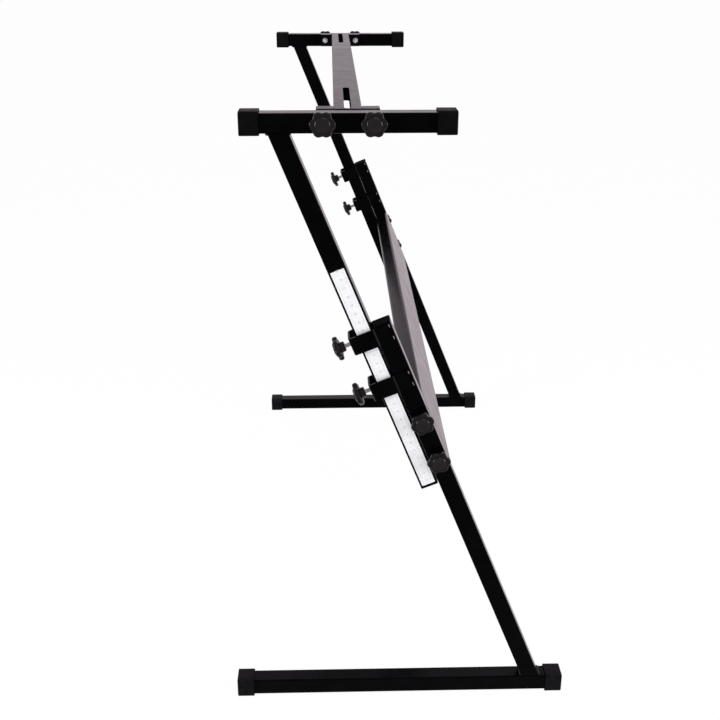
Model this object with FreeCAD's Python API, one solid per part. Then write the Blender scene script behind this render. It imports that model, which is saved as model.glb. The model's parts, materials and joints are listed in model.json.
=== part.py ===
import FreeCAD, Part
import math
import os

# Keyboard stand with two Z-shaped side frames, adjustable in height.
# Millimetres. X runs from rear to front, Y from left to right and Z up.
# The origin lies on the floor at the middle of the four feet.

# Square steel tube of both side frames
tube_width = 25.0
tube_wall = 1.5
tube_corner = 1.8

# Side frames: outer widths and lengths are measured over the end caps
frame_width = 1066.0
base_length = 492.5
arm_length = 270.0
lean = 22.0
post_gap = 0.8
post_setback = 32.0
lower_post_length = 614.5
upper_post_length = 529.0
upper_post_start = 367.0

# Rubber sleeves on the tube ends
cap_wall = 2.5
cap_fit = 0.1
cap_end = 3.0
cap_length = 25.0
cap_corner = 3.2

# Plastic plugs in the open post ends
plug_head = 2.0
plug_depth = 14.0
plug_fit = 0.1
plug_corner = 1.0

# Strap collars that guide the upper post along the lower one
strap_thickness = 2.5
strap_height = 25.0
strap_play = 1.5
strap_joggle = 2.0
strap_rear_gap = 7.5
strap_reach = 20.5
strap_bend = 4.0
collar_spacing = 72.0
collar_drop = 0.3

# Wide crossbar between the lower posts
beam_height = 120.0
beam_wall = 1.5
beam_corner = 4.0
beam_centre = 432.3
beam_plate = 3.0
hang_hole_radius = 2.0
hang_hole_inset = 9.0
hang_hole_rise = 4.0

# Slotted crossbar between the arms, with an angle bracket at each end
bar_width = 36.0
bar_depth = 18.0
bar_wall = 1.5
bar_corner = 2.5
slot_width = 9.0
slot_length = 185.0
slot_margin = 4.0
bracket_width = 80.0
bracket_thickness = 2.5
bracket_bend = 3.5
flange_reach = 22.0
flange_rise = 1.0

# Height scale on the outer face of each upper post
scale_width = 19.0
scale_length = 337.0
scale_thickness = 0.2
scale_margin = 2.5

# Star knobs with steel studs, and the weld nuts that take them
bolt_spacing = 63.5
stud_radius = 3.0
stud_proud = 4.0
stud_tip_chamfer = 0.5
thread_clearance = 0.05
hole_clearance = 0.4
nut_across_flats = 10.0
nut_thickness = 5.0
collar_nut_thickness = 4.0
clamp_screw_bare = 9.0
clamp_tip_gap = 0.1
knob_seat_gap = 0.2
hub_radius = 7.5
hub_length = 6.5
head_thickness = 6.7
head_rounding = 1.2
disc_radius = 9.9
disc_height = 2.3
lobe_count = 6
lobe_ring = 9.8
lobe_radius = 6.8
valley_radius = 6.0
grip_depth = 9.0

# Places worked out from the sizes above
Vector = FreeCAD.Vector
ORIGIN = Vector(0, 0, 0)
AXIS_X = Vector(1, 0, 0)
AXIS_Y = Vector(0, 1, 0)
AXIS_Z = Vector(0, 0, 1)
SIDES = ("left", "right")
lean_sin = math.sin(math.radians(lean))
lean_cos = math.cos(math.radians(lean))
half_tube = tube_width / 2
outer_y = -frame_width / 2
centre_y = outer_y + half_tube
inner_y = outer_y + tube_width
base_top = cap_wall + cap_fit + tube_width
half_cut = half_tube / lean_cos
foot_x = base_length / 2 - cap_end - post_setback - half_cut
upper_across = -(tube_width + post_gap)
upper_post_end = upper_post_start + upper_post_length
arm_bottom = base_top + upper_post_end * lean_cos + upper_across * lean_sin
arm_top = arm_bottom + tube_width
arm_mid_height = arm_bottom + half_tube
upper_post_x = foot_x + upper_across * lean_cos - upper_post_end * lean_sin
arm_rear_x = upper_post_x - half_cut - post_setback - cap_end
arm_x = arm_rear_x + arm_length / 2
strap_inner_across = upper_across - half_tube - strap_rear_gap
strap_outer_across = strap_inner_across - strap_thickness
collar_heights = {"upper": lower_post_length - collar_drop - strap_height / 2}
collar_heights["lower"] = collar_heights["upper"] - collar_spacing
bracket_inner_y = inner_y + bracket_thickness
flange_top = arm_top + flange_rise
plate_inner_y = inner_y + beam_plate
bolt_hole_radius = stud_radius + hole_clearance
bore_radius = stud_radius + thread_clearance
bolt_places = {"upper": bolt_spacing / 2, "lower": -bolt_spacing / 2}
arm_bolts = {"front": arm_x + bolt_spacing / 2, "rear": arm_x - bolt_spacing / 2}

# Frame of the posts: X across towards the front, Z up along the lower post
post_frame = FreeCAD.Placement(Vector(foot_x, 0, base_top), FreeCAD.Rotation(AXIS_Y, -lean))
ALONG_X = FreeCAD.Rotation(AXIS_Y, 90)
ALONG_Y = FreeCAD.Rotation(AXIS_X, -90)
SECTION_YZ = FreeCAD.Rotation(Vector(1, 1, 1), 120)


def placed(shape, position, rotation=FreeCAD.Rotation()):
    """The shape turned and then moved."""
    moved = shape.copy()
    moved.Placement = FreeCAD.Placement(position, rotation).multiply(shape.Placement)
    return moved


def on_post(shape):
    """A shape drawn upright in the posts' own frame, leant into its place."""
    return placed(shape, post_frame.Base, post_frame.Rotation)


def for_side(shape, side):
    """A left-hand shape, or its mirror image for the right-hand side."""
    return shape if side == "left" else shape.mirror(ORIGIN, AXIS_Y)


def rounded_face(corners):
    """Flat face through (x, y, radius) corners, each rounded by a tangent arc."""
    points = [Vector(x, y, 0) for x, y, radius in corners]
    ends = []
    for index, (x, y, radius) in enumerate(corners):
        here = points[index]
        to_last = (points[index - 1] - here).normalize()
        to_next = (points[(index + 1) % len(points)] - here).normalize()
        half_angle = to_last.getAngle(to_next) / 2
        reach = radius / math.tan(half_angle)
        bisector = (to_last + to_next).normalize()
        centre = here + bisector * (radius / math.sin(half_angle))
        ends.append((here + to_last * reach, centre - bisector * radius, here + to_next * reach))
    edges = []
    for index, (start, middle, finish) in enumerate(ends):
        if corners[index][2] > 0:
            edges.append(Part.Arc(start, middle, finish).toShape())
        following = ends[(index + 1) % len(ends)][0]
        edges.append(Part.LineSegment(finish, following).toShape())
    return Part.Face(Part.Wire(edges))


def rectangle(width, depth, radius):
    """Rounded rectangle about the origin."""
    x, y = width / 2, depth / 2
    return rounded_face([(x, y, radius), (-x, y, radius), (-x, -y, radius), (x, -y, radius)])


def bar(width, depth, radius, length):
    """Solid bar up the Z axis."""
    return rectangle(width, depth, radius).extrude(AXIS_Z * length)


def hollow_bar(width, depth, wall, radius, length):
    """Rectangular tube up the Z axis."""
    inner_radius = max(radius - wall, wall / 2)
    core = bar(width - 2 * wall, depth - 2 * wall, inner_radius, length)
    return bar(width, depth, radius, length).cut(core)


def square_tube(length):
    """Frame tube up the Z axis."""
    return hollow_bar(tube_width, tube_width, tube_wall, tube_corner, length)


def hole(radius, start, direction, length):
    """Round cutter from a point along a direction."""
    return Part.makeCylinder(radius, length, start, direction)


def slab(low_z, high_z):
    """Broad block between two heights, used to trim a leaning post."""
    reach = base_length + arm_length
    corner = Vector(-reach, -frame_width, low_z)
    return Part.makeBox(2 * reach, 2 * frame_width, high_z - low_z, corner)


def crosswise_holes(positions, length):
    """Bolt holes along Y through the frame tube at the given points."""
    return [hole(bolt_hole_radius, position, AXIS_Y, length) for position in positions]


def beam_bolt_points(y):
    """Points of the lower crossbar's bolts, in the posts' frame."""
    return [Vector(0, y, beam_centre + offset) for offset in bolt_places.values()]


def arm_bolt_points(y):
    """Points of the upper crossbar's bolts."""
    return [Vector(x, y, arm_mid_height) for x in arm_bolts.values()]


def base_tube():
    length = base_length - 2 * cap_end
    start = Vector(-length / 2, centre_y, base_top - half_tube)
    return placed(square_tube(length), start, ALONG_X)


def arm_tube():
    length = arm_length - 2 * cap_end
    tube = placed(square_tube(length), Vector(arm_rear_x + cap_end, centre_y, arm_mid_height), ALONG_X)
    return tube.cut(crosswise_holes(arm_bolt_points(outer_y), tube_width))


def lower_post():
    """Welded on the base tube, cut flat at its foot and square at its top."""
    below = tube_width
    post = placed(square_tube(lower_post_length + below), Vector(0, centre_y, -below))
    post = post.cut(crosswise_holes(beam_bolt_points(outer_y), tube_width))
    return on_post(post).cut(slab(-tube_width, base_top))


def upper_post():
    """Welded under the arm, cut flat at its top and square at its lower end."""
    above = tube_width
    start = Vector(upper_across, centre_y, upper_post_start)
    post = on_post(placed(square_tube(upper_post_length + above), start))
    return post.cut(slab(arm_bottom, arm_bottom + 2 * tube_width))


def end_cap():
    """Sleeve open at z = 0 with its closed end on top."""
    outside = tube_width + 2 * (cap_fit + cap_wall)
    inside = tube_width + 2 * cap_fit
    sleeve = bar(outside, outside, cap_corner, cap_length)
    edges = [edge for edge in sleeve.Edges if edge.BoundBox.ZMin > cap_length - cap_fit]
    sleeve = sleeve.makeFillet(cap_wall / 2, edges)
    return sleeve.cut(bar(inside, inside, tube_corner + cap_fit, cap_length - cap_end))


def cap_pair(rear_x, front_x, height):
    """Rear and front caps of one tube whose closed ends stand at the given places."""
    cap = end_cap()
    front = placed(cap, Vector(front_x - cap_length, centre_y, height), ALONG_X)
    rear_turn = FreeCAD.Rotation(AXIS_Y, -90)
    rear = placed(cap, Vector(rear_x + cap_length, centre_y, height), rear_turn)
    return {"front": front, "rear": rear}


def end_plug():
    """Square plug whose head lies above z = 0 and whose hollow stem goes into a tube below."""
    stem_width = tube_width - 2 * (tube_wall + plug_fit)
    stem = hollow_bar(stem_width, stem_width, tube_wall, plug_corner, plug_depth)
    head = bar(tube_width, tube_width, tube_corner, plug_head)
    return head.fuse(placed(stem, Vector(0, 0, -plug_depth)))


def lower_post_plug():
    return on_post(placed(end_plug(), Vector(0, centre_y, lower_post_length)))


def upper_post_plug():
    turned = FreeCAD.Rotation(AXIS_X, 180)
    return on_post(placed(end_plug(), Vector(upper_across, centre_y, upper_post_start), turned))


def clamp_collar(height):
    """Bent strap round the upper post with its legs on both faces of the lower post."""
    near, wide = half_tube, half_tube + strap_play
    near_out, wide_out = near + strap_thickness, wide + strap_thickness
    leg_end, rear_edge = strap_reach - half_tube, -half_tube - post_gap
    joggle = rear_edge + strap_joggle
    outer_side = [(leg_end, near_out, 0), (joggle, near_out, 0), (rear_edge, wide_out, 0),
                  (strap_outer_across, wide_out, strap_bend)]
    inner_side = [(leg_end, near, 0), (joggle, near, 0), (rear_edge, wide, 0),
                  (strap_inner_across, wide, strap_bend - strap_thickness)]
    outline = outer_side + [(x, -y, r) for x, y, r in reversed(outer_side)]
    outline += [(x, -y, r) for x, y, r in inner_side] + list(reversed(inner_side))
    strap = rounded_face(outline).extrude(AXIS_Z * strap_height)
    strap = placed(strap, Vector(0, centre_y, height - strap_height / 2))
    start = Vector(strap_outer_across, centre_y, height)
    return on_post(strap.cut(hole(bolt_hole_radius, start, AXIS_X, strap_thickness)))


def weld_nut(thickness):
    """Hexagon nut up the Z axis."""
    corner_radius = nut_across_flats / math.sqrt(3)
    corners = [(corner_radius * math.cos(math.radians(60 * k)),
                corner_radius * math.sin(math.radians(60 * k)), 0) for k in range(6)]
    nut = rounded_face(corners).extrude(AXIS_Z * thickness)
    return nut.cut(hole(bore_radius, ORIGIN, AXIS_Z, thickness))


def collar_nuts():
    nuts = []
    for height in collar_heights.values():
        seat = Vector(strap_inner_across, centre_y, height)
        nuts.append(on_post(placed(weld_nut(collar_nut_thickness), seat, ALONG_X)))
    return Part.makeCompound(nuts + [for_side(nut, "right") for nut in nuts])


def beam_nuts():
    points = beam_bolt_points(plate_inner_y)
    nuts = [on_post(placed(weld_nut(nut_thickness), point, ALONG_Y)) for point in points]
    return Part.makeCompound(nuts + [for_side(nut, "right") for nut in nuts])


def bracket_nuts():
    points = arm_bolt_points(bracket_inner_y)
    nuts = [placed(weld_nut(nut_thickness), point, ALONG_Y) for point in points]
    return Part.makeCompound(nuts + [for_side(nut, "right") for nut in nuts])


def lower_crossbar():
    """Wide folded beam, as deep as the posts, with a hang hole near each end of its front."""
    length = -2 * plate_inner_y
    beam = hollow_bar(tube_width, beam_height, beam_wall, beam_corner, length)
    beam = placed(beam, Vector(0, plate_inner_y, beam_centre), ALONG_Y)
    holes = []
    for y in (inner_y + hang_hole_inset, -inner_y - hang_hole_inset):
        start = Vector(0, y, beam_centre + hang_hole_rise)
        holes.append(hole(hang_hole_radius, start, AXIS_X, tube_width))
    return on_post(beam.cut(holes))


def lower_end_plate():
    plate = bar(tube_width, beam_height, beam_corner, beam_plate)
    plate = placed(plate, Vector(0, inner_y, beam_centre), ALONG_Y)
    return on_post(plate.cut(crosswise_holes(beam_bolt_points(inner_y), beam_plate)))


def crossbar_slot(start_y):
    """Upright cutter for one long slot that runs along Y from its outer end."""
    slot = bar(slot_width, slot_length, slot_width / 2.001, bar_depth)
    return placed(slot, Vector(arm_x, start_y + slot_length / 2, flange_top - bar_depth))


def upper_crossbar():
    """Flat rectangular tube, level with its brackets, with a long slot through it near each end."""
    length = -2 * bracket_inner_y
    tube = hollow_bar(bar_width, bar_depth, bar_wall, bar_corner, length)
    middle_height = flange_top - bar_depth / 2
    tube = placed(tube, Vector(arm_x, bracket_inner_y, middle_height), ALONG_Y)
    left_slot = crossbar_slot(bracket_inner_y + slot_margin)
    return tube.cut([left_slot, for_side(left_slot, "right")])


def upper_bracket():
    """Angle plate on the arm's inner face, its top flange notched for the crossbar."""
    flange_end = bracket_inner_y + flange_reach
    flange_bottom = flange_top - bracket_thickness
    inner_bend = bracket_bend - bracket_thickness
    section = rounded_face([(inner_y, arm_bottom, 0), (bracket_inner_y, arm_bottom, 0),
                            (bracket_inner_y, flange_bottom, inner_bend), (flange_end, flange_bottom, 0),
                            (flange_end, flange_top, 0), (inner_y, flange_top, bracket_bend)])
    plate = section.extrude(AXIS_Z * bracket_width)
    plate = placed(plate, Vector(arm_x - bracket_width / 2, 0, 0), SECTION_YZ)
    notch_corner = Vector(arm_x - bar_width / 2, bracket_inner_y, flange_top - bar_depth)
    notch = Part.makeBox(bar_width, flange_reach, bar_depth, notch_corner)
    return plate.cut([notch] + crosswise_holes(arm_bolt_points(inner_y), bracket_thickness))


def height_scale():
    """Thin label on the outer face of the upper post."""
    low = Vector(upper_across - scale_width / 2, outer_y - scale_thickness, upper_post_start + scale_margin)
    return on_post(Part.makeBox(scale_width, scale_thickness, scale_length, low))


def star_outline():
    """Outline of the knob's head: round lobes joined by tangent hollows."""
    half_step = math.pi / lobe_count
    reach = lobe_radius + valley_radius
    across = lobe_ring * math.sin(half_step)
    valley_ring = lobe_ring * math.cos(half_step) + math.sqrt(reach ** 2 - across ** 2)

    def polar(radius, angle):
        return Vector(radius * math.cos(angle), radius * math.sin(angle), 0)

    def touch(lobe_angle, valley_angle):
        lobe = polar(lobe_ring, lobe_angle)
        return lobe + (polar(valley_ring, valley_angle) - lobe) * (lobe_radius / reach)

    edges = []
    for k in range(lobe_count):
        angle = 2 * k * half_step
        start = touch(angle, angle - half_step)
        finish = touch(angle, angle + half_step)
        next_start = touch(angle + 2 * half_step, angle + half_step)
        hollow = polar(valley_ring - valley_radius, angle + half_step)
        edges.append(Part.Arc(start, polar(lobe_ring + lobe_radius, angle), finish).toShape())
        edges.append(Part.Arc(finish, hollow, next_start).toShape())
    return Part.Face(Part.Wire(edges))


def knob_handle():
    """Lobed handle with its seat at z = 0 and its face upwards, bored for the stud."""
    head = star_outline().extrude(AXIS_Z * head_thickness)
    rims = [edge for edge in head.Edges if edge.BoundBox.ZLength < head_rounding]
    head = placed(head.makeFillet(head_rounding, rims), Vector(0, 0, hub_length))
    hub = Part.makeCylinder(hub_radius, hub_length + head_thickness / 2)
    disc = Part.makeCylinder(disc_radius, head_thickness / 2 + disc_height)
    disc = placed(disc, Vector(0, 0, hub_length + head_thickness / 2))
    handle = head.fuse([hub, disc]).removeSplitter()
    return handle.cut(hole(bore_radius, ORIGIN, AXIS_Z, grip_depth))


def knob_stud(length):
    """Steel stud held in the handle, with a chamfered tip below the seat."""
    shank = Part.makeCylinder(stud_radius, grip_depth + length - stud_tip_chamfer)
    shank = placed(shank, Vector(0, 0, stud_tip_chamfer - length))
    tip_radius = stud_radius - stud_tip_chamfer
    tip = placed(Part.makeCone(tip_radius, stud_radius, stud_tip_chamfer), Vector(0, 0, -length))
    return shank.fuse(tip).removeSplitter()


def left_knobs():
    """Name, stud length and placement of the knobs on the left-hand frame."""
    outwards = FreeCAD.Rotation(AXIS_Z, -AXIS_Y)
    rearwards = FreeCAD.Rotation(AXIS_Z, -AXIS_X)
    through_tube = knob_seat_gap + tube_width + nut_thickness + stud_proud
    seat_y = outer_y - knob_seat_gap
    knobs = []
    for place, x in arm_bolts.items():
        seat = FreeCAD.Placement(Vector(x, seat_y, arm_mid_height), outwards)
        knobs.append((f"arm_{{part}}_{{side}}_{place}", through_tube + bracket_thickness, seat))
    for place, offset in bolt_places.items():
        seat = FreeCAD.Placement(Vector(0, seat_y, beam_centre + offset), outwards)
        knobs.append((f"post_{{part}}_{{side}}_{place}", through_tube + beam_plate,
                      post_frame.multiply(seat)))
    clamp_length = clamp_screw_bare + strap_thickness + strap_rear_gap - clamp_tip_gap
    for place, height in collar_heights.items():
        seat_across = strap_outer_across - clamp_screw_bare
        seat = FreeCAD.Placement(Vector(seat_across, centre_y, height), rearwards)
        knobs.append((f"clamp_{{part}}_{{side}}_{place}", clamp_length, post_frame.multiply(seat)))
    return knobs


def side_frame_parts():
    """Left-hand pieces that the right-hand side repeats as mirror images."""
    parts = {
        "base_tube_{side}": base_tube(),
        "lower_post_{side}": lower_post(),
        "lower_post_plug_{side}": lower_post_plug(),
        "lower_end_plate_{side}": lower_end_plate(),
        "arm_tube_{side}": arm_tube(),
        "upper_post_{side}": upper_post(),
        "upper_post_plug_{side}": upper_post_plug(),
        "upper_bracket_{side}": upper_bracket(),
        "height_scale_{side}": height_scale(),
    }
    base_caps = cap_pair(-base_length / 2, base_length / 2, base_top - half_tube)
    arm_caps = cap_pair(arm_rear_x, arm_rear_x + arm_length, arm_mid_height)
    for end in ("front", "rear"):
        parts[f"base_cap_{{side}}_{end}"] = base_caps[end]
        parts[f"arm_cap_{{side}}_{end}"] = arm_caps[end]
    for place, height in collar_heights.items():
        parts[f"clamp_collar_{{side}}_{place}"] = clamp_collar(height)
    handle = knob_handle()
    for name, stud_length, seat in left_knobs():
        parts[name.replace("{part}", "knob")] = placed(handle, seat.Base, seat.Rotation)
        parts[name.replace("{part}", "stud")] = placed(knob_stud(stud_length), seat.Base, seat.Rotation)
    return parts


def build():
    """Every node of the stand by name."""
    parts = {
        "lower_crossbar": lower_crossbar(),
        "upper_crossbar": upper_crossbar(),
        "collar_nuts": collar_nuts(),
        "beam_nuts": beam_nuts(),
        "bracket_nuts": bracket_nuts(),
    }
    for pattern, shape in side_frame_parts().items():
        for side in SIDES:
            parts[pattern.replace("{side}", side)] = for_side(shape, side)
    return parts


os.makedirs("parts", exist_ok=True)
for node_name, node_shape in build().items():
    node_shape.exportStep(f"parts/{node_name}.step")
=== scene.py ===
import json
import math

import bmesh
import bpy
from mathutils import Matrix, Vector


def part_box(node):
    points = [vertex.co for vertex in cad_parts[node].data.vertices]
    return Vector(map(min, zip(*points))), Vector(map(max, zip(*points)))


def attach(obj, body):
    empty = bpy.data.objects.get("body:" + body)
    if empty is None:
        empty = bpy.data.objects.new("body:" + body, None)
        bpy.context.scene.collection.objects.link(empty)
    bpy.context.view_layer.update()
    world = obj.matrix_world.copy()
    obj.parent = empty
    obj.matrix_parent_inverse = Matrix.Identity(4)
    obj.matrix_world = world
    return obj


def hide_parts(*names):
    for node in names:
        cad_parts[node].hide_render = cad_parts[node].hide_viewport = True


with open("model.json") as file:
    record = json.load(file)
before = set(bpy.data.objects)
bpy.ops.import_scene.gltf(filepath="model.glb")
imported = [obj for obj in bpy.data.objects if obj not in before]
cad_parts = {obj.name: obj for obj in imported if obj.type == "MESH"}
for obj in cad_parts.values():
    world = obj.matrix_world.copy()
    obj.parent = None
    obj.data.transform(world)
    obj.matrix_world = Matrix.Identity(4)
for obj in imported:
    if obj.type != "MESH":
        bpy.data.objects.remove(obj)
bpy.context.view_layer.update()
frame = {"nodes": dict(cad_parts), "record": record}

# Base tubes and lower posts: square steel tube. Each post's foot is cut to its
# lean and welded on its base, and both are powder coated a smooth gloss black.
MM = 0.001
SIDES = ("left", "right")
NOISE_LOW = 0.3
NOISE_HIGH = 0.7
PAINT_DARK = (0.0007, 0.0007, 0.0009)
PAINT_LIGHT = (0.0014, 0.0013, 0.0017)
PAINT_CLOUD_SCALE = 28
PEEL_SCALE = 900
PEEL_HEIGHT = 0.02 * MM


def blank_material(name):
    """New material with its node tree, shader and object coordinates."""
    material = bpy.data.materials.new(name)
    material.use_nodes = True
    tree = material.node_tree
    place = tree.nodes.new("ShaderNodeTexCoord").outputs["Object"]
    return material, tree, tree.nodes["Principled BSDF"], place


def noise(tree, place, scale, detail):
    """Fractal noise on the given coordinates, about 0.5 on average."""
    texture = tree.nodes.new("ShaderNodeTexNoise")
    texture.inputs["Scale"].default_value = scale
    texture.inputs["Detail"].default_value = detail
    tree.links.new(place, texture.inputs["Vector"])
    return texture.outputs["Fac"]


def spread(tree, factor, low, high):
    """Spreads a noise's middle range between two values."""
    node = tree.nodes.new("ShaderNodeMapRange")
    node.inputs["From Min"].default_value = NOISE_LOW
    node.inputs["From Max"].default_value = NOISE_HIGH
    node.inputs["To Min"].default_value = low
    node.inputs["To Max"].default_value = high
    tree.links.new(factor, node.inputs["Value"])
    return node.outputs["Result"]


def tint(tree, factor, dark, light):
    """Colour between two tints, led by a noise."""
    ramp = tree.nodes.new("ShaderNodeValToRGB")
    ramp.color_ramp.elements[0].position = NOISE_LOW
    ramp.color_ramp.elements[0].color = (*dark, 1)
    ramp.color_ramp.elements[1].position = NOISE_HIGH
    ramp.color_ramp.elements[1].color = (*light, 1)
    tree.links.new(factor, ramp.inputs["Fac"])
    return ramp.outputs["Color"]


def bump(tree, shader, height, distance, strength):
    """Raises the surface by a noise, with the distance in metres."""
    node = tree.nodes.new("ShaderNodeBump")
    node.inputs["Strength"].default_value = strength
    node.inputs["Distance"].default_value = distance
    tree.links.new(height, node.inputs["Height"])
    tree.links.new(node.outputs["Normal"], shader.inputs["Normal"])


def gloss_paint(name, rough, peel, ior=1.19, facing_gloss=0.12):
    """Black powder coat: deep black seen square on, bright at a glance, with a fine orange peel."""
    material, tree, shader, place = blank_material(name)
    clouds = noise(tree, place, PAINT_CLOUD_SCALE, detail=4)
    tree.links.new(tint(tree, clouds, PAINT_DARK, PAINT_LIGHT), shader.inputs["Base Color"])
    tree.links.new(spread(tree, clouds, *rough), shader.inputs["Roughness"])
    shader.inputs["IOR"].default_value = ior
    shader.inputs["Specular Tint"].default_value = (facing_gloss, facing_gloss, facing_gloss, 1)
    bump(tree, shader, noise(tree, place, PEEL_SCALE, detail=2), PEEL_HEIGHT, strength=peel)
    return material


def finish_nodes(material, *names):
    """Puts a material on CAD nodes that are shown as they are."""
    for name in names:
        for slot in frame["nodes"][name].material_slots:
            slot.material = material


tube_paint = gloss_paint("gloss_black_tube_paint", rough=(0.16, 0.26), peel=0.15)
for side in SIDES:
    finish_nodes(tube_paint, f"base_tube_{side}", f"lower_post_{side}")

# Foot welds: rippled runs of weld metal in front of and behind each lower post,
# painted over with the tubes but rounder and shinier than they are.
TUBE = 25.0 * MM
TUBE_CORNER = 1.8 * MM
BEAD_RADIUS = 2.5 * MM
BEAD_SIDES = 10
BEAD_STEP = 0.7 * MM
BEAD_LEAST_STEPS = 4
BEAD_RIPPLE = 0.12
BEAD_RIPPLE_PHASE = 2.1
BEAD_END = 0.35
SHARP_ANGLE = 0.6
BEAD_SHARP_ANGLE = 1.2
weld_paint = gloss_paint("gloss_black_weld_paint", rough=(0.1, 0.18), peel=0.1, ior=1.4, facing_gloss=0.7)


def joints_named(start, ending):
    """Joints of the record by the start and the end of their names."""
    joints = frame["record"]["behaviour"]["joints"]
    started = [joint for joint in joints if joint["name"].startswith(start)]
    return [joint for joint in started if joint["name"].endswith(ending)]


def turn_to(direction):
    """Turn that brings the Z axis onto a direction."""
    return Vector((0, 0, 1)).rotation_difference(direction).to_matrix().to_4x4()


def picked(geometry, kind):
    """The vertices, or the faces, among what an operator returns."""
    return [element for element in geometry if isinstance(element, kind)]


def new_piece(name, mesh_edit, material, body, slot_name, *replaced):
    """Makes a piece of a finished bmesh, rides it on its body and hides the CAD nodes it replaces. The slot
    name is not used.
    """
    mesh = bpy.data.meshes.new(name)
    mesh_edit.to_mesh(mesh)
    mesh_edit.free()
    piece = bpy.data.objects.new(name, mesh)
    bpy.context.scene.collection.objects.link(piece)
    mesh.materials.append(material)
    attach(piece, body)
    if replaced:
        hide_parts(*replaced)
    return piece


def shade_smooth(mesh_edit, angle=SHARP_ANGLE):
    """Smooth faces with sharp edges where the surface turns by more than the angle."""
    for face in mesh_edit.faces:
        face.smooth = True
    for edge in mesh_edit.edges:
        edge.smooth = len(edge.link_faces) == 2 and edge.calc_face_angle(0) < angle


def weld_bead(mesh_edit, start, finish, radius):
    """Rounded run of weld metal, swelling and shrinking with each ripple."""
    start = Vector(start)
    run = Vector(finish) - start
    steps = max(BEAD_LEAST_STEPS, round(run.length / BEAD_STEP))
    ring = bmesh.ops.create_circle(mesh_edit, cap_ends=True, segments=BEAD_SIDES, radius=radius * BEAD_END,
                                   matrix=Matrix.Translation(start) @ turn_to(run))["verts"]
    front = [ring[0].link_faces[0]]
    size = BEAD_END
    for step in range(1, steps + 1):
        target = BEAD_END if step == steps else 1 + BEAD_RIPPLE * math.sin(step * BEAD_RIPPLE_PHASE)
        raised = bmesh.ops.extrude_face_region(mesh_edit, geom=front)["geom"]
        if step > 1:
            bmesh.ops.delete(mesh_edit, geom=front, context="FACES_ONLY")
        front = picked(raised, bmesh.types.BMFace)
        verts = list(front[0].verts)
        bmesh.ops.translate(mesh_edit, verts=verts, vec=run / steps)
        middle = Matrix.Translation(-(start + run * step / steps))
        bmesh.ops.scale(mesh_edit, vec=(target / size,) * 3, verts=verts, space=middle)
        size = target


def weld_piece(name, beads, paint, body):
    """Makes one painted piece of a group of beads."""
    bmesh.ops.recalc_face_normals(beads, faces=beads.faces)
    shade_smooth(beads, BEAD_SHARP_ANGLE)
    new_piece(name, beads, paint, body, "black_steel")


def cross_welds(name, post_node, height, edges_x, body):
    """Beads across a tube in front of and behind the post that meets it."""
    low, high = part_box(post_node)
    start_y = low.y + TUBE_CORNER
    finish_y = high.y - TUBE_CORNER
    beads = bmesh.new()
    for x in edges_x:
        weld_bead(beads, (x, start_y, height), (x, finish_y, height), BEAD_RADIUS)
    weld_piece(name, beads, weld_paint, body)


height_joint = joints_named("height", "height")[0]
post_up = Vector(height_joint["axis"]).normalized()
post_front = Vector((post_up.z, 0, -post_up.x))
cut_depth = TUBE / post_up.z
for side in SIDES:
    foot_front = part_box(f"lower_post_{side}")[1].x
    cross_welds(f"foot_welds_{side}", f"lower_post_{side}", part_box(f"base_tube_{side}")[1].z,
                (foot_front, foot_front - cut_depth), "lower_frame")

# End caps of the base and arm tubes: dull black rubber sleeves pushed over the
# tube ends. Those of the base are the feet, those of the arms carry the keyboard.
AXIS_X = 0
AXIS_Z = 2
TOLERANCE = 0.01 * MM
CAP_CORNER = 3.2 * MM
CAP_ROUNDING = 1.6 * MM
CAP_WALL = 2.4 * MM
CAP_FLOOR = 3.0 * MM
BLOOM_SCALE = 110
MOULDED_ROUGH = (0.42, 0.58)
MOULDED_GRAIN_SCALE = 1400
MOULDED_GRAIN_HEIGHT = 0.05 * MM


def moulded_black(name, dark, light, ior):
    """Dull black rubber or plastic with a fine moulded grain and a bloom of lighter patches: dust, and on
    the feet also painted highlight.
    """
    material, tree, shader, place = blank_material(name)
    bloom = noise(tree, place, BLOOM_SCALE, detail=5)
    tree.links.new(tint(tree, bloom, dark, light), shader.inputs["Base Color"])
    tree.links.new(spread(tree, bloom, *MOULDED_ROUGH), shader.inputs["Roughness"])
    shader.inputs["IOR"].default_value = ior
    bump(tree, shader, noise(tree, place, MOULDED_GRAIN_SCALE, detail=3), MOULDED_GRAIN_HEIGHT, strength=0.4)
    return material


def round_edges(mesh_edit, edges, radius, segments):
    """Rounds edges with an even arc."""
    bmesh.ops.bevel(mesh_edit, geom=edges, offset=radius, offset_type="OFFSET", affect="EDGES",
                    segments=segments, profile=0.5, material=-1, clamp_overlap=True)


def edges_along(mesh_edit, axis, shortest):
    """Edges that run further than a given length along an axis."""
    return [edge for edge in mesh_edit.edges
            if abs(edge.verts[0].co[axis] - edge.verts[1].co[axis]) > shortest]


def lying_at(elements, axis, reach):
    """Edges or faces that lie flat at one reach along an axis."""
    return [element for element in elements
            if all(abs(vert.co[axis] - reach) < TOLERANCE for vert in element.verts)]


def block(mesh_edit, low, high):
    """Plain box between two corners, for shaping."""
    low, high = Vector(low), Vector(high)
    place = Matrix.Translation((low + high) / 2) @ Matrix.Diagonal((*(high - low), 1))
    bmesh.ops.create_cube(mesh_edit, size=1, matrix=place)


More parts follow.
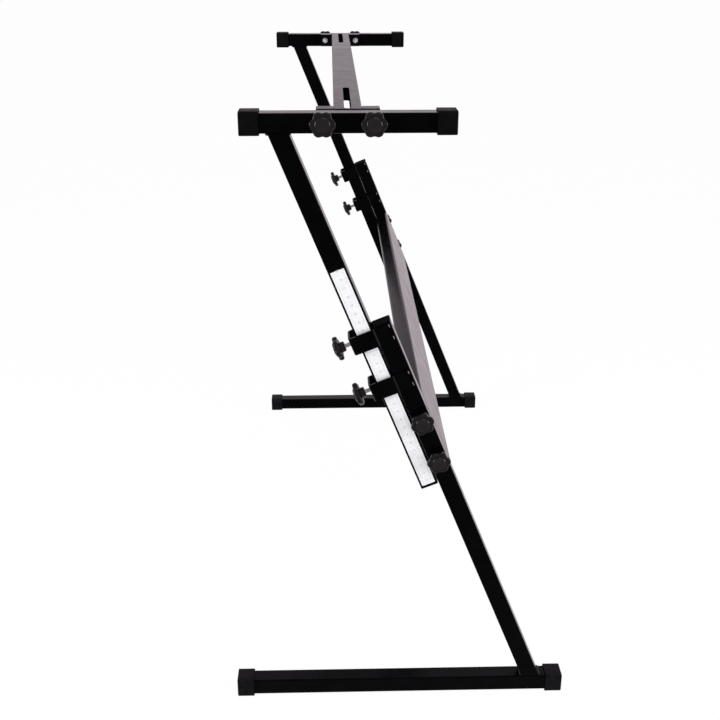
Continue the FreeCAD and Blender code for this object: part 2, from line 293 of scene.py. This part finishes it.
def cap_mesh(low, high, outward):
    """Rounded sleeve along X, closed at its outward end and hollow from the other."""
    shell = bmesh.new()
    block(shell, low, high)
    round_edges(shell, edges_along(shell, AXIS_X, CAP_CORNER), CAP_CORNER, segments=5)
    end_x, mouth_x = (high.x, low.x) if outward > 0 else (low.x, high.x)
    round_edges(shell, lying_at(shell.edges, AXIS_X, end_x), CAP_ROUNDING, segments=4)
    mouth = lying_at(shell.faces, AXIS_X, mouth_x)
    bmesh.ops.inset_region(shell, faces=mouth, thickness=CAP_WALL)
    hollow = bmesh.ops.extrude_face_region(shell, geom=mouth)["geom"]
    bmesh.ops.delete(shell, geom=mouth, context="FACES_ONLY")
    depth = (high.x - low.x - CAP_FLOOR) * outward
    bmesh.ops.translate(shell, verts=picked(hollow, bmesh.types.BMVert), vec=(depth, 0, 0))
    bmesh.ops.recalc_face_normals(shell, faces=shell.faces)
    shade_smooth(shell)
    return shell


arm_rubber = moulded_black("dull_black_cap_rubber",
                           dark=(0.0008, 0.0008, 0.001), light=(0.002, 0.002, 0.0024), ior=1.12)
# The foot rubber's lighter tint is part dust, part painted highlight standing in for light falling on the
# tops of the feet.
foot_rubber = moulded_black("dust_and_sheen_black_foot_rubber",
                            dark=(0.0005, 0.0005, 0.0007), light=(0.006, 0.0057, 0.0067), ior=1.14)
for tube, body, material in (("base", "lower_frame", foot_rubber), ("arm", "upper_frame", arm_rubber)):
    for side in SIDES:
        for end, outward in (("front", 1), ("rear", -1)):
            node = f"{tube}_cap_{side}_{end}"
            sleeve = cap_mesh(*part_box(node), outward)
            new_piece(f"rubber_{node}", sleeve, material, body, "cap_rubber", node)

# Plugs of the open post ends: matte black plastic, pressed in until the square
# head lies on the cut tube. Those of the upper posts face down.
PLUG_HEAD = 2.0 * MM
PLUG_ROUNDING = 0.9 * MM
PLUG_DISH_RIM = 3.2 * MM
PLUG_DISH = 0.5 * MM


def span(node, direction):
    """Lowest and highest reach of a CAD node along a direction."""
    reaches = [vertex.co.dot(direction) for vertex in frame["nodes"][node].data.vertices]
    return min(reaches), max(reaches)


def leaning_size(node):
    """Middle of a node that leans with the posts, and its size across and along them."""
    rear, front = span(node, post_front)
    bottom, top = span(node, post_up)
    middle = post_front * (rear + front) / 2 + post_up * (bottom + top) / 2
    middle.y = sum(span(node, Vector((0, 1, 0)))) / 2
    return middle, front - rear, top - bottom


def facing_frame(origin, x_axis, y_axis):
    """Placement with its X and Y along two given directions."""
    turn = Matrix((x_axis, y_axis, x_axis.cross(y_axis))).transposed()
    return Matrix.Translation(origin) @ turn.to_4x4()


def plug_mesh(width, place):
    """Square head with rounded edges and a shallow dish in its face."""
    head = bmesh.new()
    half = width / 2
    block(head, (-half, -half, 0), (half, half, PLUG_HEAD))
    round_edges(head, edges_along(head, AXIS_Z, PLUG_HEAD / 2), TUBE_CORNER, segments=4)
    round_edges(head, lying_at(head.edges, AXIS_Z, PLUG_HEAD), PLUG_ROUNDING, segments=3)
    face = lying_at(head.faces, AXIS_Z, PLUG_HEAD)
    bmesh.ops.inset_region(head, faces=face, thickness=PLUG_DISH_RIM)
    bmesh.ops.inset_region(head, faces=face, thickness=PLUG_DISH, depth=-PLUG_DISH)
    bmesh.ops.transform(head, matrix=place, verts=head.verts)
    shade_smooth(head)
    return head


plug_plastic = moulded_black("matte_black_plug_plastic",
                             dark=(0.0015, 0.0015, 0.0018), light=(0.003, 0.003, 0.0034), ior=1.04)
for side in SIDES:
    for post, body, up in (("lower", "lower_frame", 1), ("upper", "upper_frame", -1)):
        node = f"{post}_post_plug_{side}"
        middle, across, along = leaning_size(node)
        tube_end = middle + post_up * up * (along / 2 - PLUG_HEAD)
        place = facing_frame(tube_end, post_front, post_up.cross(post_front) * up)
        new_piece(f"pressed_{node}", plug_mesh(across, place), plug_plastic, body, "plug_plastic", node)

# Strap collars: flat steel bent round the upper post, tacked on both faces of
# the lower post and painted with it. A zinc weld nut sits inside each one.
TACK_LENGTH = 6.0 * MM
TACK_RADIUS = 1.6 * MM
TACK_MARGIN = 0.5 * MM
ZINC_DARK = (0.42, 0.43, 0.46)
ZINC_LIGHT = (0.58, 0.58, 0.6)
ZINC_ROUGH = (0.22, 0.38)
ZINC_GRAIN_SCALE = 700
strap_paint = gloss_paint("gloss_black_strap_paint", rough=(0.18, 0.28), peel=0.15)
tack_paint = gloss_paint("wet_black_tack_paint", rough=(0.05, 0.1), peel=0.05, ior=1.7, facing_gloss=1.0)


def zinc(name):
    """Bright zinc plate with a faint grain."""
    material, tree, shader, place = blank_material(name)
    grain = noise(tree, place, ZINC_GRAIN_SCALE, detail=3)
    tree.links.new(tint(tree, grain, ZINC_DARK, ZINC_LIGHT), shader.inputs["Base Color"])
    tree.links.new(spread(tree, grain, *ZINC_ROUGH), shader.inputs["Roughness"])
    shader.inputs["Metallic"].default_value = 1.0
    return material


def tack_welds(side, place):
    """Short beads at the corners of a strap's leg ends, on both faces of the post."""
    middle, across, along = leaning_size(f"clamp_collar_{side}_{place}")
    low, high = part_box(f"lower_post_{side}")
    beads = bmesh.new()
    for y in (low.y, high.y):
        for up in (1, -1):
            corner = middle + post_front * across / 2 + post_up * up * (along / 2 - TACK_MARGIN)
            corner.y = y
            weld_bead(beads, corner, corner - post_up * up * TACK_LENGTH, TACK_RADIUS)
    weld_piece(f"collar_tacks_{side}_{place}", beads, tack_paint, "lower_frame")


bright_zinc = zinc("bright_zinc_plate")
finish_nodes(bright_zinc, "collar_nuts")
for side in SIDES:
    for place in ("upper", "lower"):
        finish_nodes(strap_paint, f"clamp_collar_{side}_{place}")
        tack_welds(side, place)

# Lower crossbar: a wide folded beam between the lower posts, closed by a welded
# plate at each end with nuts behind it, in the same paint with a softer gloss.
beam_paint = gloss_paint("gloss_black_beam_paint", rough=(0.2, 0.26), peel=0.015, facing_gloss=0.8)
finish_nodes(beam_paint, "lower_crossbar")
finish_nodes(bright_zinc, "beam_nuts")
for side in SIDES:
    finish_nodes(beam_paint, f"lower_end_plate_{side}")

# Arms and upper posts: the same tube as below, each post cut to its lean and
# welded under its arm, in the same gloss paint.
for side in SIDES:
    finish_nodes(tube_paint, f"arm_tube_{side}", f"upper_post_{side}")
    arm_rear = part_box(f"upper_post_{side}")[0].x
    cross_welds(f"arm_welds_{side}", f"upper_post_{side}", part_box(f"arm_tube_{side}")[0].z,
                (arm_rear, arm_rear + cut_depth), "upper_frame")

# Upper crossbar: a flat slotted tube between the arms, welded at each end to an
# angle bracket on the arm's inner face. Chamfered weld nuts there take the studs.
NUT_SIDES = 6
NUT_FLATS = 10.0 * MM
NUT_THICKNESS = 5.0 * MM
NUT_CHAMFER = 0.6 * MM
STUD_RADIUS = 3.0 * MM
BORE_STEPS = 30
crossbar_paint = gloss_paint("gloss_black_crossbar_paint",
                             rough=(0.2, 0.26), peel=0.01, ior=1.11, facing_gloss=1.0)
bracket_paint = gloss_paint("gloss_black_bracket_paint",
                            rough=(0.22, 0.3), peel=0.03, ior=1.14, facing_gloss=0.8)
finish_nodes(crossbar_paint, "upper_crossbar")
for side in SIDES:
    finish_nodes(bracket_paint, f"upper_bracket_{side}")


def add_nut(group, place):
    """Adds a hexagon nut with a round bore and a broken rim, its seat at the given place."""
    nut = bmesh.new()
    bmesh.ops.create_circle(nut, segments=NUT_SIDES, radius=NUT_FLATS / math.sqrt(3))
    bmesh.ops.subdivide_edges(nut, edges=list(nut.edges), cuts=BORE_STEPS // NUT_SIDES - 1)
    bmesh.ops.create_circle(nut, segments=BORE_STEPS, radius=STUD_RADIUS)
    ring = bmesh.ops.bridge_loops(nut, edges=list(nut.edges))["faces"]
    raised = bmesh.ops.extrude_face_region(nut, geom=ring)["geom"]
    bmesh.ops.translate(nut, verts=picked(raised, bmesh.types.BMVert), vec=(0, 0, NUT_THICKNESS))
    outside = NUT_FLATS / 2 - NUT_CHAMFER / 2
    top_edges = lying_at(nut.edges, AXIS_Z, NUT_THICKNESS)
    rim = [edge for edge in top_edges if all(vert.co.xy.length > outside for vert in edge.verts)]
    round_edges(nut, rim, NUT_CHAMFER, segments=1)
    bmesh.ops.recalc_face_normals(nut, faces=nut.faces)
    bmesh.ops.transform(nut, matrix=place, verts=nut.verts)
    carrier = bpy.data.meshes.new("nut_carrier")
    nut.to_mesh(carrier)
    nut.free()
    group.from_mesh(carrier)
    bpy.data.meshes.remove(carrier)


nuts = bmesh.new()
nuts_low, nuts_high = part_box("bracket_nuts")
for joint in joints_named("arm_", "_turn"):
    inward = -Vector(joint["axis"])
    seat = Vector(joint["pos_m"])
    seat.y = nuts_low.y if inward.y > 0 else nuts_high.y
    add_nut(nuts, Matrix.Translation(seat) @ turn_to(inward))
shade_smooth(nuts)
new_piece("bracket_weld_nuts", nuts, bright_zinc, "upper_frame", "zinc_steel", "bracket_nuts")

# Height scales: white film stuck on the outer face of each upper post, printed
# in pale grey with a number column between two columns of ticks.
FILM_THICKNESS = 0.2 * MM
FILM_CORNER = 0.8 * MM
FILM_CLOUD_SCALE = 90
FILM_ROUGHNESS = 0.45
PRINT_THICKNESS = 0.02 * MM
NUMBER_PITCH = 12.7 * MM
NUMBER_HEIGHT = 4.4 * MM
NUMBER_CURVE_STEPS = 3
MARGIN_PITCHES = 0.5
TICKS_PER_NUMBER = 5
TICK_WIDTH = 0.3 * MM
LONG_TICK = 3.4 * MM
SHORT_TICK = 2.0 * MM
TICK_COLUMN = 7.8 * MM


def film(name, dark, light):
    """Satin film with a faint grey cloud."""
    material, tree, shader, place = blank_material(name)
    cloud = noise(tree, place, FILM_CLOUD_SCALE, detail=5)
    tree.links.new(tint(tree, cloud, dark, light), shader.inputs["Base Color"])
    shader.inputs["Roughness"].default_value = FILM_ROUGHNESS
    return material


def print_number(mesh_edit, number, y):
    """Adds a printed number, made as text and turned into a mesh."""
    text = bpy.data.curves.new("scale_number", "FONT")
    text.body = str(number)
    text.size = NUMBER_HEIGHT
    text.align_x = "CENTER"
    text.align_y = "CENTER"
    text.extrude = PRINT_THICKNESS / 2
    text.resolution_u = NUMBER_CURVE_STEPS
    holder = bpy.data.objects.new("scale_number", text)
    mesh = bpy.data.meshes.new_from_object(holder)
    mesh.transform(Matrix.Translation((0, y, FILM_THICKNESS + PRINT_THICKNESS / 2)))
    mesh_edit.from_mesh(mesh)
    bpy.data.objects.remove(holder)
    bpy.data.curves.remove(text)
    bpy.data.meshes.remove(mesh)


def print_ticks(mesh_edit, y, length):
    """Adds a tick in each of the two columns, from the label's edge inwards."""
    for left in (-TICK_COLUMN, TICK_COLUMN - length):
        low = (left, y - TICK_WIDTH / 2, FILM_THICKNESS)
        high = (left + length, y + TICK_WIDTH / 2, FILM_THICKNESS + PRINT_THICKNESS)
        block(mesh_edit, low, high)


def scale_mesh(width, length, place):
    """Film with its print, drawn flat with the number column along Y."""
    label = bmesh.new()
    block(label, (-width / 2, -length / 2, 0), (width / 2, length / 2, FILM_THICKNESS))
    round_edges(label, edges_along(label, AXIS_Z, FILM_THICKNESS / 2), FILM_CORNER, segments=3)
    film_faces = set(label.faces)
    rows = int((length / NUMBER_PITCH - MARGIN_PITCHES) * TICKS_PER_NUMBER)
    for row in range(rows + 1):
        y = -length / 2 + NUMBER_PITCH * MARGIN_PITCHES + row * NUMBER_PITCH / TICKS_PER_NUMBER
        numbered = row % TICKS_PER_NUMBER == 0
        print_ticks(label, y, LONG_TICK if numbered else SHORT_TICK)
        if numbered:
            print_number(label, row // TICKS_PER_NUMBER + 1, y)
    for face in label.faces:
        face.material_index = 0 if face in film_faces else 1
    bmesh.ops.remove_doubles(label, verts=label.verts, dist=PRINT_THICKNESS / 100)
    bmesh.ops.transform(label, matrix=place, verts=label.verts)
    return label


scale_film = film("white_scale_film", dark=(0.8, 0.8, 0.83), light=(0.89, 0.89, 0.91))
scale_print = film("pale_grey_scale_print", dark=(0.34, 0.33, 0.36), light=(0.46, 0.45, 0.48))
for side, across_axis in (("left", post_front), ("right", -post_front)):
    node = f"height_scale_{side}"
    middle, across, along = leaning_size(node)
    outward = across_axis.cross(post_up)
    place = facing_frame(middle - outward * FILM_THICKNESS / 2, across_axis, post_up)
    label = scale_mesh(across, along, place)
    piece = new_piece(f"printed_{node}", label, scale_film, "upper_frame", "scale_label", node)
    piece.data.materials.append(scale_print)

# Star knobs: charcoal plastic handles with six lobes and a raised round face,
# moulded on zinc-plated threaded studs that screw into the weld nuts.
LOBE_COUNT = 6
LOBE_RING = 9.8 * MM
LOBE_RADIUS = 6.8 * MM
LOBE_STEPS = 10
VALLEY_RADIUS = 6.0 * MM
VALLEY_STEPS = 6
HUB_LENGTH = 6.5 * MM
HEAD_THICKNESS = 6.7 * MM
HEAD_ROUNDING = 2.2 * MM
DISC_RADIUS = 9.9 * MM
DISC_TOP = 15.5 * MM
DISC_ROUNDING = 2.3 * MM
CORE_PROFILE = ((0.0, 0.0), (6.2 * MM, 0.0), (7.0 * MM, 0.6 * MM), (7.4 * MM, 6.6 * MM),
                (7.4 * MM, 9.0 * MM), (DISC_RADIUS, 11.0 * MM), (DISC_RADIUS, DISC_TOP),
                (7.0 * MM, DISC_TOP), (6.5 * MM, 15.1 * MM), (0.0, 14.9 * MM))
CORE_STEPS = 40
KNOB_CLOUD_SCALE = 160
KNOB_GRAIN_SCALE = 2600
KNOB_GRAIN_HEIGHT = 0.04 * MM
KNOB_SHARP_ANGLE = 0.7
KNOB_TURN_DEGREES = {"post_knob_left_upper": 24, "post_knob_left_lower": 8,
                     "clamp_knob_left_upper": 17, "clamp_knob_left_lower": 3}
GRIP_DEPTH = 9.0 * MM
THREAD_PITCH = 1.0 * MM
THREAD_ROOT = 2.45 * MM
THREAD_CREST = 2.98 * MM
THREAD_PROFILE = ((THREAD_ROOT, 0.0), (THREAD_CREST, 0.42), (THREAD_CREST, 0.58), (THREAD_ROOT, 1.0))
THREAD_STEPS = 16
THREAD_SPARE_TURNS = 2
THREAD_LEAD_TURNS = 1.5
THREAD_SHARP_ANGLE = 0.5
MERGE_DISTANCE = 0.001 * MM


def knob_plastic(name, dark, light, rough, ior):
    """Charcoal plastic with a spark-eroded grain."""
    material, tree, shader, place = blank_material(name)
    tone = noise(tree, place, KNOB_CLOUD_SCALE, detail=4)
    tree.links.new(tint(tree, tone, dark, light), shader.inputs["Base Color"])
    tree.links.new(spread(tree, tone, *rough), shader.inputs["Roughness"])
    shader.inputs["IOR"].default_value = ior
    bump(tree, shader, noise(tree, place, KNOB_GRAIN_SCALE, detail=2), KNOB_GRAIN_HEIGHT, strength=0.4)
    return material


def star_head(mesh_edit):
    """Lobed head above the hub, its outline turned from one lobe and one hollow."""
    half_step = math.pi / LOBE_COUNT
    reach = LOBE_RADIUS + VALLEY_RADIUS
    side_step = LOBE_RING * math.sin(half_step)
    valley_ring = LOBE_RING * math.cos(half_step) + math.sqrt(reach ** 2 - side_step ** 2)
    lobe = Vector((LOBE_RING, 0, HUB_LENGTH))
    valley = Vector((valley_ring * math.cos(half_step), valley_ring * math.sin(half_step), HUB_LENGTH))
    touch_angle = math.atan2(valley.y - lobe.y, valley.x - lobe.x)
    start = lobe + Matrix.Rotation(-touch_angle, 3, "Z") @ Vector((LOBE_RADIUS, 0, 0))
    seed = mesh_edit.verts.new(start)
    turned = bmesh.ops.spin(mesh_edit, geom=[seed], cent=lobe, axis=(0, 0, 1),
                            angle=2 * touch_angle, steps=LOBE_STEPS)
    tip = picked(turned["geom_last"], bmesh.types.BMVert)
    hollow_angle = 2 * (touch_angle - half_step)
    bmesh.ops.spin(mesh_edit, geom=tip, cent=valley, axis=(0, 0, 1),
                   angle=-hollow_angle, steps=VALLEY_STEPS)
    outline = list(mesh_edit.verts) + list(mesh_edit.edges)
    bmesh.ops.spin(mesh_edit, geom=outline, cent=(0, 0, 0), axis=(0, 0, 1),
                   angle=2 * math.pi, steps=LOBE_COUNT, use_duplicate=True)
    bmesh.ops.remove_doubles(mesh_edit, verts=mesh_edit.verts, dist=TOLERANCE)
    lower_face = bmesh.ops.contextual_create(mesh_edit, geom=list(mesh_edit.edges))["faces"]
    raised = bmesh.ops.extrude_face_region(mesh_edit, geom=lower_face, use_keep_orig=True)["geom"]
    bmesh.ops.translate(mesh_edit, verts=picked(raised, bmesh.types.BMVert), vec=(0, 0, HEAD_THICKNESS))
    rims = [edge for edge in mesh_edit.edges if abs(edge.verts[0].co.z - edge.verts[1].co.z) < TOLERANCE]
    round_edges(mesh_edit, rims, HEAD_ROUNDING, segments=5)


def turned_core(mesh_edit):
    """Hub and raised disc of the knob, turned as one shape, the disc in its own finish."""
    lobes = set(mesh_edit.faces)
    points = [mesh_edit.verts.new((radius, 0, height)) for radius, height in CORE_PROFILE]
    lines = [mesh_edit.edges.new(pair) for pair in zip(points, points[1:])]
    bmesh.ops.spin(mesh_edit, geom=points + lines, cent=(0, 0, 0), axis=(0, 0, 1),
                   angle=2 * math.pi, steps=CORE_STEPS, use_merge=True)
    top_edges = lying_at(mesh_edit.edges, AXIS_Z, DISC_TOP)
    rim = [edge for edge in top_edges
           if all(vert.co.xy.length > DISC_RADIUS - TOLERANCE for vert in edge.verts)]
    round_edges(mesh_edit, rim, DISC_ROUNDING, segments=5)
    for face in mesh_edit.faces:
        face.material_index = 0 if face in lobes or face.calc_center_median().z < HUB_LENGTH else 1


def knob_mesh(place):
    """Whole handle, set on its seat."""
    handle = bmesh.new()
    star_head(handle)
    turned_core(handle)
    bmesh.ops.remove_doubles(handle, verts=handle.verts, dist=MERGE_DISTANCE)
    bmesh.ops.recalc_face_normals(handle, faces=handle.faces)
    bmesh.ops.transform(handle, matrix=place, verts=handle.verts)
    shade_smooth(handle, KNOB_SHARP_ANGLE)
    return handle


def thread_mesh(length, place):
    """Threaded stud from inside the handle down to its tip, cut square at both ends."""
    stud = bmesh.new()
    low = GRIP_DEPTH - length
    turns = math.ceil(length / THREAD_PITCH) + THREAD_SPARE_TURNS
    bottom = low - THREAD_LEAD_TURNS * THREAD_PITCH
    points = [stud.verts.new((radius, 0, bottom + share * THREAD_PITCH))
              for radius, share in THREAD_PROFILE]
    lines = [stud.edges.new(pair) for pair in zip(points, points[1:])]
    bmesh.ops.spin(stud, geom=points + lines, cent=(0, 0, 0), axis=(0, 0, 1),
                   dvec=(0, 0, THREAD_PITCH / THREAD_STEPS),
                   angle=2 * math.pi * turns, steps=turns * THREAD_STEPS)
    bmesh.ops.remove_doubles(stud, verts=stud.verts, dist=MERGE_DISTANCE)
    for height, upwards in ((low, -1), (GRIP_DEPTH, 1)):
        bmesh.ops.bisect_plane(stud, geom=list(stud.verts) + list(stud.edges) + list(stud.faces),
                               plane_co=(0, 0, height), plane_no=(0, 0, upwards), clear_outer=True)
    bmesh.ops.holes_fill(stud, edges=[edge for edge in stud.edges if edge.is_boundary], sides=0)
    bmesh.ops.recalc_face_normals(stud, faces=stud.faces)
    bmesh.ops.transform(stud, matrix=place, verts=stud.verts)
    shade_smooth(stud, THREAD_SHARP_ANGLE)
    return stud


lobe_plastic = knob_plastic("charcoal_knob_plastic", dark=(0.002, 0.0015, 0.002),
                            light=(0.005, 0.0039, 0.005), rough=(0.15, 0.24), ior=1.24)
disc_plastic = knob_plastic("satin_knob_disc", dark=(0.0006, 0.0004, 0.0006),
                            light=(0.0016, 0.0011, 0.0016), rough=(0.14, 0.2), ior=1.31)
for joint in joints_named("", "_turn"):
    knob = joint["child"]
    stud = knob.replace("_knob_", "_stud_")
    axis = Vector(joint["axis"])
    seat = Matrix.Translation(joint["pos_m"]) @ turn_to(axis)
    turned = Matrix.Rotation(math.radians(KNOB_TURN_DEGREES.get(knob, 0)), 4, "Z")
    star = knob_mesh(seat @ turned)
    handle = new_piece(f"star_{knob}", star, lobe_plastic, knob, "knob_plastic", knob)
    handle.data.materials.append(disc_plastic)
    tip, top = span(stud, axis)
    thread = thread_mesh(top - tip, seat)
    new_piece(f"threaded_{stud}", thread, bright_zinc, knob, "zinc_steel", stud)

# Floor, light and camera: a plain pale floor in a white surround, under soft
# studio light, seen from the photograph's place.
FLOOR_REACH = 40.0
FLOOR_WHITE = (0.95, 0.95, 0.95, 1)
FLOOR_ROUGHNESS = 0.9
FLOOR_GLOW = 0.97
STUDIO_CAST = (1.0, 0.89, 0.96, 1)
WORLD_LIGHT = 0.45
LAMP_AIM = (0, 0, 0.5)
CAMERA_PLACE = (-0.0963, -1.8608, 1.0847)
CAMERA_PITCH = 0.38364
CAMERA_YAW = 0.0266
CAMERA_LENS = 53.70
bpy.context.scene.view_settings.view_transform = "Standard"


def seen_or_mirrored(tree):
    """1 for camera, glossy and transmission rays, 0 for those that only light the object."""
    path = tree.nodes.new("ShaderNodeLightPath")
    total = path.outputs["Is Camera Ray"]
    for name in ("Is Glossy Ray", "Is Transmission Ray"):
        add = tree.nodes.new("ShaderNodeMath")
        add.operation = "ADD"
        add.use_clamp = True
        tree.links.new(total, add.inputs[0])
        tree.links.new(path.outputs[name], add.inputs[1])
        total = add.outputs[0]
    return total


def backdrop_colour(tree):
    """White to the eye, with the studio's faint rose cast in reflections."""
    path = tree.nodes.new("ShaderNodeLightPath")
    mix = tree.nodes.new("ShaderNodeMix")
    mix.data_type = "RGBA"
    mix.inputs["A"].default_value = (1, 1, 1, 1)
    mix.inputs["B"].default_value = STUDIO_CAST
    tree.links.new(path.outputs["Is Glossy Ray"], mix.inputs["Factor"])
    return mix.outputs["Result"]


def studio_floor():
    """Wide pale floor that glows to the eye and in reflections but keeps a soft shadow."""
    sheet = bmesh.new()
    bmesh.ops.create_grid(sheet, x_segments=1, y_segments=1, size=FLOOR_REACH)
    mesh = bpy.data.meshes.new("studio_floor")
    sheet.to_mesh(mesh)
    sheet.free()
    floor = bpy.data.objects.new("studio_floor", mesh)
    bpy.context.scene.collection.objects.link(floor)
    material, tree, shader = blank_material("pale_floor")[:3]
    shader.inputs["Base Color"].default_value = FLOOR_WHITE
    shader.inputs["Roughness"].default_value = FLOOR_ROUGHNESS
    glow = tree.nodes.new("ShaderNodeEmission")
    tree.links.new(backdrop_colour(tree), glow.inputs["Color"])
    share = tree.nodes.new("ShaderNodeMath")
    share.operation = "MULTIPLY"
    share.inputs[1].default_value = FLOOR_GLOW
    tree.links.new(seen_or_mirrored(tree), share.inputs[0])
    mix = tree.nodes.new("ShaderNodeMixShader")
    tree.links.new(share.outputs[0], mix.inputs["Fac"])
    tree.links.new(shader.outputs["BSDF"], mix.inputs[1])
    tree.links.new(glow.outputs["Emission"], mix.inputs[2])
    tree.links.new(mix.outputs["Shader"], tree.nodes["Material Output"].inputs["Surface"])
    mesh.materials.append(material)


def studio_world():
    """White surround, at a plain level where it only lights the object."""
    world = bpy.data.worlds.new("studio_world")
    world.use_nodes = True
    tree = world.node_tree
    background = tree.nodes["Background"]
    tree.links.new(backdrop_colour(tree), background.inputs["Color"])
    level = tree.nodes.new("ShaderNodeMapRange")
    level.inputs["To Min"].default_value = WORLD_LIGHT
    level.inputs["To Max"].default_value = 1.0
    tree.links.new(seen_or_mirrored(tree), level.inputs["Value"])
    tree.links.new(level.outputs["Result"], background.inputs["Strength"])
    bpy.context.scene.world = world


def soft_lamp(name, place, size, power):
    """Square softbox aimed at the middle of the stand."""
    light = bpy.data.lights.new(name, "AREA")
    light.size = size
    light.energy = power
    lamp = bpy.data.objects.new(name, light)
    lamp.location = place
    lamp.rotation_euler = (Vector(LAMP_AIM) - Vector(place)).to_track_quat("-Z", "Y").to_euler()
    bpy.context.scene.collection.objects.link(lamp)


studio_floor()
studio_world()
soft_lamp("key_light", place=(0.6, -1.6, 2.8), size=1.6, power=20)
soft_lamp("fill_light", place=(-2.2, -0.9, 0.95), size=1.2, power=45)
soft_lamp("edge_light", place=(2.2, -0.9, 0.95), size=1.2, power=45)

lens = bpy.data.cameras.new("photo_camera")
lens.lens = CAMERA_LENS
camera = bpy.data.objects.new("photo_camera", lens)
camera.location = CAMERA_PLACE
camera.rotation_euler = (math.pi / 2 - CAMERA_PITCH, 0, -CAMERA_YAW)
bpy.context.scene.collection.objects.link(camera)
bpy.context.scene.camera = camera
